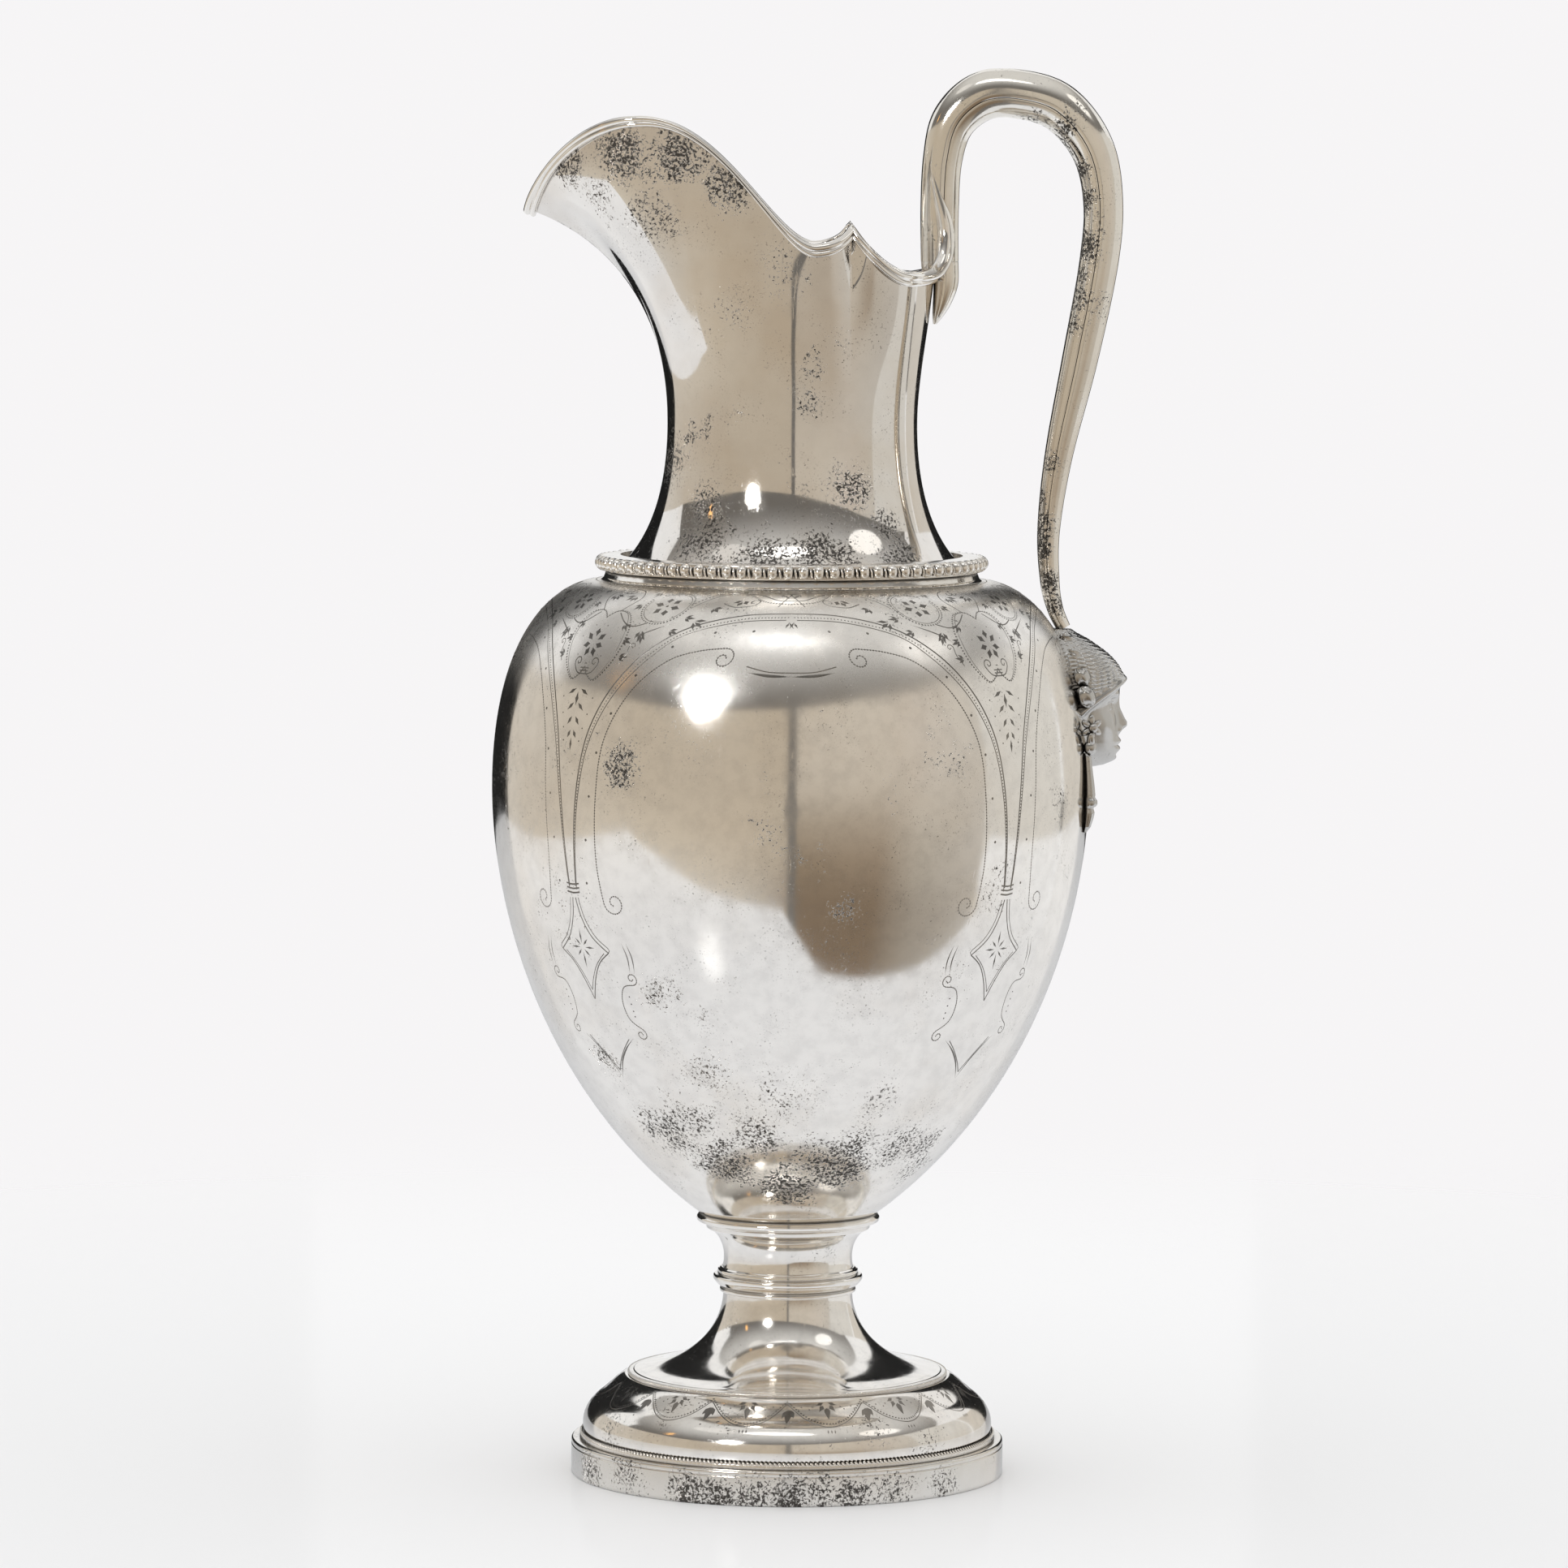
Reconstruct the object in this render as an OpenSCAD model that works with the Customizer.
// Footed silver pitcher with a shaped pouring lip, a swan-neck handle and a cast mask.
// Millimetres. The origin is on the body's axis, at the foot's lower edge. +Z is up,
// the spout points to -X and the handle to +X.

/* [Sheet] */
// Thickness of the raised foot, stem, body and neck
wall = 1; // [0.8:0.1:1.2]
// Thickness of the handle's stamped shells
handle_wall = 0.9; // [0.7:0.1:1.1]

/* [Foot] */
// Radius of the band that the foot stands on
foot_r = 55.6; // [55:0.1:57]
// Height of that band
band_h = 9; // [8.6:0.1:9.4]
// Height of the flat seat between the dome and the stem
seat_z = 25.2; // [24.8:0.1:25.6]
// Radius of that seat
seat_r = 41.6; // [41:0.1:42]

/* [Stem] */
// Narrowest radius of the flared lower stem
stem_r = 16.6; // [16.2:0.1:16.9]
// Height where the lower stem meets the knop ring
knop_z = 46.6; // [46:0.1:47]
// Radius of the knop ring
knop_r = 19.2; // [18.5:0.1:20]
// Height where the upper stem meets the flange ring
flange_z = 62.6; // [62.2:0.1:62.8]
// Radius of the flange ring under the body
flange_r = 23.6; // [23:0.1:23.8]

/* [Body] */
// Largest radius of the body
body_r = 76.4; // [74:0.1:79]
// Height of the largest radius
belly_z = 177; // [172:1:180]
// Height of the flat seat on the shoulder
shoulder_z = 230; // [229:0.1:230]
// Radius of that seat
shoulder_r = 48.2; // [48:0.1:50]

/* [Neck] */
// Outer radius of the beaded ring
bead_ring_r = 50.3; // [50:0.1:51]
// Radius of the neck where it stands on the shoulder
neck_base_r = 43.7; // [43:0.1:44]
// Narrowest radius of the neck
neck_r = 31.9; // [31:0.1:32.4]
// Height of the narrowest place
neck_z = 270; // [266:1:274]
// How far the two creases beside the mouth are pinched in
crease_depth = 3.6; // [2:0.1:4]

/* [Rim] */
// Distance from the axis to the tip of the spout
spout_reach = 67.4; // [66:0.1:70]
// Height of the spout's tip
tip_z = 324; // [322:0.5:325]
// Height of the spout's arched sides
arch_z = 346.7; // [344:0.1:348]
// Height of the peaks above the creases
cusp_z = 320; // [319:1:322]
// Height of the rim below the handle
rear_z = 309; // [308:0.5:309.5]

/* [Handle] */
// Height of the handle's middle line at its top
handle_top_z = 354; // [352:0.5:356]
// Distance from the axis to the middle line at its furthest
handle_reach = 78.8; // [77:0.1:80]

/* [Mask] */
// Height of the chin
chin_z = 182; // [181:0.5:184]
// Height of the top of the headdress
crown_z = 217.8; // [217:0.1:218.4]
// Half width of the head over the wreath
mask_half_w = 14; // [12:0.5:16]
// How far the headdress stands out from the axis
mask_reach = 85; // [83:0.5:86]

/* [Hidden] */
$fn = 96;

// Gap left by the solder between two pieces that lie along a curved surface
solder = 0.03;
collar_top = shoulder_z + 2.4;
bead_r = 2;
ring_top = collar_top + 3.4;
// Radius where the bottom of the body turns into its wall, and that height
bowl_r = 24.6;
bowl_z = flange_z + 6;

// ---- Curves ----------------------------------------------------------------------------

// Point and direction on a cubic Bezier curve with the control points p
function bez(p, t) =
    pow(1 - t, 3) * p[0] + 3 * pow(1 - t, 2) * t * p[1]
    + 3 * (1 - t) * t * t * p[2] + pow(t, 3) * p[3];
function bez_dir(p, t) =
    pow(1 - t, 2) * (p[1] - p[0]) + 2 * (1 - t) * t * (p[2] - p[1]) + t * t * (p[3] - p[2]);
function unit(v) = v / norm(v);

// The curve as a list of points, and the same curve moved to its left by d, backwards
function trace(p, n, first = 0, last = 1) =
    [for (i = [0:n]) bez(p, first + (last - first) * i / n)];
function trace_back(p, n, d, first = 0, last = 1) =
    [for (i = [n:-1:0]) let (t = first + (last - first) * i / n, v = unit(bez_dir(p, t)))
        bez(p, t) + d * [-v[1], v[0]]];
function arc(c, r, a, b, n) =
    [for (i = [0:n]) let (w = a + (b - a) * i / n) c + r * [cos(w), sin(w)]];

// A smooth line through the keys; whole values of u are the keys themselves
function smooth(k, u) =
    let (i = min(floor(u), len(k) - 2), t = u - i,
         a = k[max(i - 1, 0)], b = k[i], c = k[i + 1], d = k[min(i + 2, len(k) - 1)])
    0.5 * (2 * b + (c - a) * t + (2 * a - 5 * b + 4 * c - d) * t * t
           + (3 * b - a - 3 * c + d) * t * t * t);

// ---- Profiles of the turned and raised pieces, as [radius, height] ------------------------

dome_side = [
    [seat_r + 10, band_h], [seat_r + 12.2, band_h + 3.5], [seat_r + 10.8, 17.6], [seat_r + 6.2, 20.4]
];
dome_top = [[seat_r + 6.2, 20.4], [seat_r + 4.2, 21.7], [seat_r + 2.4, seat_z - 0.8], [seat_r, seat_z]];
trumpet_side = [[seat_r - 1.9, seat_z + 1.4], [25, seat_z + 2.4], [stem_r + 0.2, 37], [stem_r, knop_z]];
spool_side = [
    [stem_r + 0.2, knop_z + 6.6], [stem_r - 0.5, 56], [stem_r - 0.2, 60], [flange_r - 4, flange_z]
];
body_bowl = [[0, flange_z - 1.6], [11, flange_z - 1.6], [19, flange_z + 1.7], [bowl_r, bowl_z]];
body_side = [[bowl_r, bowl_z], [65, 100], [body_r, belly_z - 29], [body_r, belly_z]];
body_shoulder = [
    [body_r, belly_z], [body_r, belly_z + 37], [62, shoulder_z], [shoulder_r, shoulder_z]
];
neck_flare = [[neck_base_r, collar_top + 1.1], [37.6, 239.5], [neck_r, 250], [neck_r, neck_z]];

// Radius of the body at height z, on its side or its shoulder
function height_to_t(p, z, low = 0, high = 1, steps = 16) =
    let (mid = (low + high) / 2)
    steps == 0 ? mid : bez(p, mid)[1] < z ? height_to_t(p, z, mid, high, steps - 1)
                                          : height_to_t(p, z, low, mid, steps - 1);
function body_radius(z) =
    let (p = z < belly_z ? body_side : body_shoulder) bez(p, height_to_t(p, z))[0];

// ---- Solids from cross-sections -----------------------------------------------------------

// A solid through a list of cross-sections, each a list of as many points in the same order.
// An even number of points pairs up across the section to close the two ends. A section whose
// points run the other way round needs turned = true, so that its faces look outwards.
module loft(rings, closed = false, turned = false) {
    n = len(rings);
    m = len(rings[0]);
    function at(j, k) = (j % n) * m + k % m;
    function cap(j, turn) =
        [for (k = [0:m / 2 - 2])
            let (a = at(j, k), b = at(j, k + 1), c = at(j, m - 2 - k), d = at(j, m - 1 - k))
            each turn ? [[a, b, c], [a, c, d]] : [[a, c, b], [a, d, c]]];
    sides = [for (j = [0:closed ? n - 1 : n - 2], k = [0:m - 1])
        each [[at(j, k), at(j + 1, k + 1), at(j, k + 1)], [at(j, k), at(j + 1, k), at(j + 1, k + 1)]]];
    caps = closed ? [] : concat(cap(0, true), cap(n - 1, false));
    faces = concat(sides, caps);
    polyhedron(
        points = [for (r = rings) each r],
        faces = turned ? [for (f = faces) [f[0], f[2], f[1]]] : faces,
        convexity = 10
    );
}

// ---- Foot -----------------------------------------------------------------------------------

module foot_rim_band() {
    color("silver") rotate_extrude() polygon([
        [foot_r - 1.4, 0], [foot_r, 0], [foot_r, band_h - 0.8], [foot_r - 0.3, band_h - 0.2],
        [foot_r - 0.8, band_h], [foot_r - 5.6, band_h], [foot_r - 5.6, band_h - 1],
        [foot_r - 1.4, band_h - 1]
    ]);
}

module lower_milled_wire() {
    color("silver") translate([0, 0, band_h]) rotate_extrude() polygon([
        [foot_r - 3, 0], [foot_r - 1.2, 0], [foot_r - 1.4, 0.9], [foot_r - 2.2, 1.6], [foot_r - 3, 1.4]
    ]);
}

module foot_dome() {
    color("gainsboro") rotate_extrude() polygon(concat(
        trace(dome_side, 10), trace(dome_top, 6, 1 / 6),
        [[seat_r - 6.1, seat_z], [seat_r - 6.1, seat_z - wall]],
        trace_back(dome_top, 6, wall), trace_back(dome_side, 10, wall, 0.1), [[seat_r + 9, band_h]]
    ));
}

module upper_milled_wire() {
    color("silver") translate([0, 0, seat_z]) rotate_extrude() polygon([
        [seat_r - 1.8, 0], [seat_r - 0.3, 0], [seat_r - 0.4, 0.8], [seat_r - 1, 1.3], [seat_r - 1.8, 1.2]
    ]);
}

module foot_trumpet() {
    color("gainsboro") rotate_extrude() polygon(concat(
        [[seat_r - 6.1, seat_z], [seat_r - 1.9, seat_z]], trace(trumpet_side, 18),
        [[stem_r - wall, knop_z]], trace_back(trumpet_side, 16, wall, 0.1, 0.98)
    ));
}

// ---- Stem -----------------------------------------------------------------------------------

module stem_knop_ring() {
    inner = stem_r - wall - 1;
    color("silver") translate([0, 0, knop_z]) rotate_extrude() polygon(concat(
        [[inner, 0], [stem_r + 0.4, 0], [stem_r + 0.5, 1], [knop_r - 1.6, 1.4]],
        trace([[knop_r - 1.6, 1.4], [knop_r - 0.6, 2.2], [knop_r, 3.2], [knop_r, 4.2]], 5, 0.2),
        [[knop_r - 0.2, 4.8], [knop_r - 1, 5]], arc([knop_r - 1.8, 5.5], 0.5, -60, 100, 5),
        [[stem_r + 0.6, 6.3], [stem_r + 0.4, 6.6], [inner, 6.6]]
    ));
}

module stem_spool() {
    color("gainsboro") rotate_extrude() polygon(concat(
        [[stem_r - wall, knop_z + 6.6]], trace(spool_side, 12),
        [[flange_r - 4 - wall * 1.4, flange_z]], trace_back(spool_side, 10, wall, 0.1, 0.88)
    ));
}

module spool_flange_ring() {
    color("silver") rotate_extrude() polygon(concat(
        [[15.5, flange_z], [flange_r - 3.7, flange_z], [flange_r - 2.3, flange_z + 1.3],
         [flange_r - 2.1, flange_z + 2], [flange_r - 1.4, flange_z + 2.4]],
        arc([flange_r - 1.3, flange_z + 3.7], 1.3, -75, 45, 6),
        [for (t = [0.93, 0.85, 0.75, 0.65, 0.55]) bez(body_bowl, t)]
    ));
}

// ---- Body -----------------------------------------------------------------------------------

module body_shell() {
    mouth_r = shoulder_r - 6;
    color("gainsboro") rotate_extrude() polygon(concat(
        trace(body_bowl, 8), trace(body_side, 20, 0.05), trace(body_shoulder, 14, 1 / 14),
        [[mouth_r, shoulder_z], [mouth_r, shoulder_z - wall]],
        trace_back(body_shoulder, 14, wall), trace_back(body_side, 20, wall, 0, 0.95),
        trace_back(body_bowl, 8, wall, 0, 0.9)
    ));
}

module shoulder_collar() {
    color("silver") translate([0, 0, shoulder_z]) rotate_extrude() polygon([
        [shoulder_r - 5.8, 0], [shoulder_r, 0], [shoulder_r, 2], [shoulder_r - 0.4, 2.4],
        [shoulder_r - 5.8, 2.4]
    ]);
}

module beaded_ring() {
    centre = [bead_ring_r - bead_r, collar_top + bead_r];
    color("silver") rotate_extrude() polygon(concat(
        [[neck_base_r + 0.05, collar_top]], arc(centre, bead_r, -90, 90, 12),
        [[centre[0] - 1.6, ring_top], [neck_base_r + 0.05, ring_top]]
    ));
}

// ---- Neck and spout ---------------------------------------------------------------------------

// One side of the rim, from the spout's tip to the back, in stretches. Each has the angle from
// the spout where it starts, its control points with y as the distance from the middle plane,
// and its number of steps.
tip = [-spout_reach, 0, tip_z];
arch = [-39.6, 30, arch_z];
dip = [5.6, 33, cusp_z - 5.2];
cusp = [14.6, 31, cusp_z];
low = [28, 23.5, rear_z - 1.4];
rear = [36, 0, rear_z];
RIM = [
    [0, [tip, [-65.4, 10, tip_z + 8.4], [-53.4, 27, arch_z], arch], 8],
    [48, [arch, [-18.3, 32, arch_z + 1.8], [-4, 33.5, cusp_z - 5.6], dip], 9],
    [100, [dip, [9.5, 32.8, cusp_z - 5], [12.8, 32, cusp_z - 3.6], cusp], 4],
    [117, [cusp, [17.5, 30.4, cusp_z - 3.8], [22.4, 28.6, rear_z + 0.2], low], 5],
    [142, [low, [31.6, 19.4, rear_z - 1.8], [36, 9, rear_z - 1.2], rear], 5],
    [180, [rear, rear, rear, rear], 1]
];

// Where a side wall stands at the waist (u is the angle from the spout), how it leaves the
// waist and how it arrives at the rim, as key values along that angle
function rise(u) = lookup(u, [[0, 34.5], [48, 27], [100, 16], [180, 12]]);
function lip_length(u) = lookup(u, [[0, 19], [48, 20], [100, 13], [180, 12]]);
function lip_out(u) = [
    lookup(u, [[0, -0.97], [20, -0.4], [45, -0.62], [75, -0.4], [100, 0], [180, 0.06]]),
    lookup(u, [[0, 0], [15, -0.4], [45, -0.24], [75, -0.06], [100, 0.07], [150, 0.05], [180, 0]]),
    lookup(u, [[0, 0.24], [30, 0.5], [60, 0.87], [100, 1], [180, 1]])
];
FLARE_ROWS = 6;
WALL_ROWS = [0.1, 0.22, 0.34, 0.46, 0.58, 0.7, 0.8, 0.89, 0.96, 1];

// How far the sides of the spout swell out between the waist and the rim, at the angle u
SWELL_END = 50;
function swell(u) = u < SWELL_END ? 4.5 * pow(sin(180 * u / SWELL_END), 2) : 0;

// The outer line of the neck from its base to the rim point r, at the angle u
function meridian(u, r, pinch) =
    let (out = [-cos(u), sin(u)],
         foot = [neck_base_r * out[0], neck_base_r * out[1], collar_top],
         flare = [for (p = trace(neck_flare, FLARE_ROWS)) [p[0] * out[0], p[0] * out[1], p[1]]],
         waist = flare[FLARE_ROWS],
         side = [waist, waist + [0, 0, rise(u)], r - lip_length(u) * lip_out(u), r])
    concat([foot], flare, [for (t = WALL_ROWS) bez(side, t)
        + [0, swell(u) * sin(180 * pow(t, 1.12)) - pow(t, 3) * pinch, 0]]);

function pinch_at(u) = crease_depth * pow(max(0, 1 - abs(u - 117) / 13), 1.6);

near_half = [for (s = [0:len(RIM) - 2], k = [0:RIM[s][2] - 1])
    let (t = k / RIM[s][2], u = RIM[s][0] + (RIM[s + 1][0] - RIM[s][0]) * t)
    meridian(u, bez(RIM[s][1], t), pinch_at(u))];
back_line = meridian(180, rear, 0);
function mirrored(line) = [for (p = line) [p[0], -p[1], p[2]]];
HALF = len(near_half);
// All the lines of the outer face, round from the tip by way of the near side (-Y)
outer_lines = concat(
    [for (l = near_half) mirrored(l)], [back_line], [for (j = [HALF - 1:-1:1]) near_half[j]]
);
LINES = len(outer_lines);
ROWS = len(back_line);

// The inner face lies one wall inside the outer one
function outward(j, i) =
    let (before = outer_lines[(j + LINES - 1) % LINES][i], after = outer_lines[(j + 1) % LINES][i],
         line = outer_lines[j])
    unit(cross(after - before, line[min(i + 1, ROWS - 1)] - line[max(i - 1, 0)]));
inner_lines = [for (j = [0:LINES - 1]) [for (i = [0:ROWS - 1])
    let (n = i == 0 ? unit([outer_lines[j][0][0], outer_lines[j][0][1], 0]) : outward(j, i))
    outer_lines[j][i] - wall * n]];

module neck_spout() {
    color("gainsboro") loft([for (j = [0:LINES - 1])
        concat(outer_lines[j], [for (i = [ROWS - 1:-1:0]) inner_lines[j][i]])
    ], closed = true, turned = true);
}

// The moulded wire grips the last strip of the neck's outer face and its cut edge
function wire_section(j) =
    let (below = outer_lines[j][ROWS - 2], edge = outer_lines[j][ROWS - 1],
         inside = inner_lines[j][ROWS - 1], up = unit(edge - below), out = unit(edge - inside))
    [below, edge, inside, inside + 0.5 * up, edge + 1.2 * up - 0.3 * out, edge + 1.1 * up + 0.8 * out,
     edge + 0.1 * up + 1.5 * out, below + 0.9 * out];

module lip_wire(first, last) {
    color("whitesmoke") loft([for (j = [first:last]) wire_section(j % LINES)]);
}
module lip_wire_near() {
    lip_wire(0, HALF);
}
module lip_wire_far() {
    lip_wire(HALF, LINES);
}

// ---- Handle -----------------------------------------------------------------------------------

// Middle line of the handle with its size: [x, z, depth in the bend's plane, width across]
handle_keys = [
    [37.3, rear_z + 2.3, 9.6, 8.4], [37.2, 325, 9.8, 8.8], [37.9, 337.5, 10.1, 9.6],
    [40.6, 347, 11.4, 10.6], [47.6, handle_top_z - 0.8, 12.6, 11.6], [56.5, handle_top_z, 12.6, 12],
    [67.4, handle_top_z - 3.4, 12.4, 12], [75.8, 340.5, 11.2, 11.4], [handle_reach, 327, 10.2, 11],
    [handle_reach - 1, 311, 10, 10.6], [73.2, 286.5, 9.2, 9.6], [68, 262, 7.2, 8.4], [65.6, 243, 5.8, 7.4],
    [66, 230, 5, 6.8], [67.4, 223, 4.2, 6.4], [69.6, crown_z + 0.3, 3.6, 6]
];
SEAM = 102;
ARC_STEPS = 7;

function handle_dir(u) =
    let (last = len(handle_keys) - 1,
         v = smooth(handle_keys, min(u + 0.05, last)) - smooth(handle_keys, max(u - 0.05, 0)))
    unit([v[0], v[1]]);

// A point of the handle's section at the angle a from the bend's outer side, in from its
// surface by d. It is kept clear of the body, where the handle lies along the shoulder.
function handle_point(u, a, d) =
    let (k = smooth(handle_keys, u),
         v = u == 0 ? [0, 1] : u == len(handle_keys) - 1 ? [0, -1] : handle_dir(u),
         s = (k[2] / 2 - d) * cos(a),
         x = k[0] - v[1] * s, y = (k[3] / 2 - d) * sin(a), z = k[1] + v[0] * s,
         least = z < shoulder_z ? body_radius(z) + solder + d : 0,
         r = norm([x, y]))
    r < least ? [x * least / r, y * least / r, z] : [x, y, z];

module handle_shell(from, to) {
    stations = 3 * (len(handle_keys) - 1);
    color("gainsboro") loft([for (i = [0:stations]) concat(
        [for (k = [0:ARC_STEPS]) handle_point(i / 3, from + (to - from) * k / ARC_STEPS, 0)],
        [for (k = [ARC_STEPS:-1:0]) handle_point(i / 3, from + (to - from) * k / ARC_STEPS, handle_wall)]
    )], turned = true);
}
module handle_outer_shell() {
    handle_shell(-SEAM, SEAM);
}
module handle_inner_shell() {
    handle_shell(SEAM, 360 - SEAM);
}

// Leaf below the handle's upper end, behind the neck: [x, z, depth, width]
tongue_keys = [
    [39.8, rear_z + 2.2, 3.8, 7], [39.4, 305.5, 3.8, 7], [38.3, 301, 3.2, 6],
    [37, 297.8, 2.2, 4.4], [36.3, 295.8, 1, 2.2]
];
module handle_tongue() {
    color("gainsboro") loft([for (i = [0:2 * (len(tongue_keys) - 1)])
        let (k = smooth(tongue_keys, i / 2))
        [for (a = [15:30:345]) [k[0] + k[2] / 2 * cos(a), k[3] / 2 * sin(a), k[1]]]
    ], turned = true);
}

// ---- Mask -------------------------------------------------------------------------------------

// Half width and reach of the head, level by level from the chin (0) to the crown (1)
function head_half_w(h) = mask_half_w * lookup(h, [
    [0, 0.3], [0.06, 0.5], [0.2, 0.76], [0.3, 0.95], [0.5, 1], [0.65, 0.96], [0.8, 0.82],
    [0.93, 0.6], [1, 0.35]]);
function head_reach(h) = body_r + (mask_reach - body_r) * lookup(h, [
    [0, 0.3], [0.06, 0.7], [0.14, 0.95], [0.3, 1], [0.6, 1.02], [0.72, 0.84], [0.87, 0.38], [1, -0.15]]);
// A plain nose at the middle third of the face
function nose(h, v) =
    1.6 * lookup(h, [[0.22, 0], [0.27, 1], [0.44, 0.2], [0.5, 0]]) * exp(-pow(v / 0.12, 2));

module mask_casting() {
    levels = 26;
    across = 15;
    color("darkgray") loft([for (i = [0:levels])
        let (h = i / levels, z = chin_z + (crown_z - chin_z) * h, w = head_half_w(h),
             back = [for (k = [0:across]) let (y = w * (2 * k / across - 1))
                 [sqrt(pow(body_radius(z) + solder, 2) - y * y), y, z]],
             front = [for (k = [0:across]) let (v = 2 * k / across - 1, b = back[k][0])
                 [max(b + 1.2, b + (head_reach(h) - b) * pow(1 - pow(abs(v), 2.6), 0.55) + nose(h, v)),
                  w * v, z]])
        concat(front, [for (k = [across:-1:0]) back[k]])
    ]);
}

// A hanging tassel on the body, at the angle a round the axis: [height, half width, thickness]
tassel_keys = [
    [187, 1.6, 2.6], [184, 1.3, 2.2], [178, 1.5, 2.6], [175.6, 1.9, 3], [173, 1.4, 2.2],
    [169.4, 1.7, 2.6], [166.8, 1.2, 1.6]
];
module tassel(a) {
    color("darkgray") rotate([0, 0, a]) loft([for (i = [0:2 * (len(tassel_keys) - 1)])
        let (k = smooth(tassel_keys, i / 2), b = body_radius(k[0]) + solder)
        concat([for (s = [-80:20:80]) [b + 0.2 + k[2] * cos(s), k[1] * sin(s), k[0]]],
               [for (s = [1:-0.5:-1]) [b, k[1] * s, k[0]]])
    ], turned = true);
}
module tassel_near() {
    tassel(-11);
}
module tassel_far() {
    tassel(11);
}

foot_rim_band();
lower_milled_wire();
foot_dome();
upper_milled_wire();
foot_trumpet();
stem_knop_ring();
stem_spool();
spool_flange_ring();
body_shell();
shoulder_collar();
beaded_ring();
neck_spout();
lip_wire_near();
lip_wire_far();
handle_outer_shell();
handle_inner_shell();
handle_tongue();
mask_casting();
tassel_near();
tassel_far();
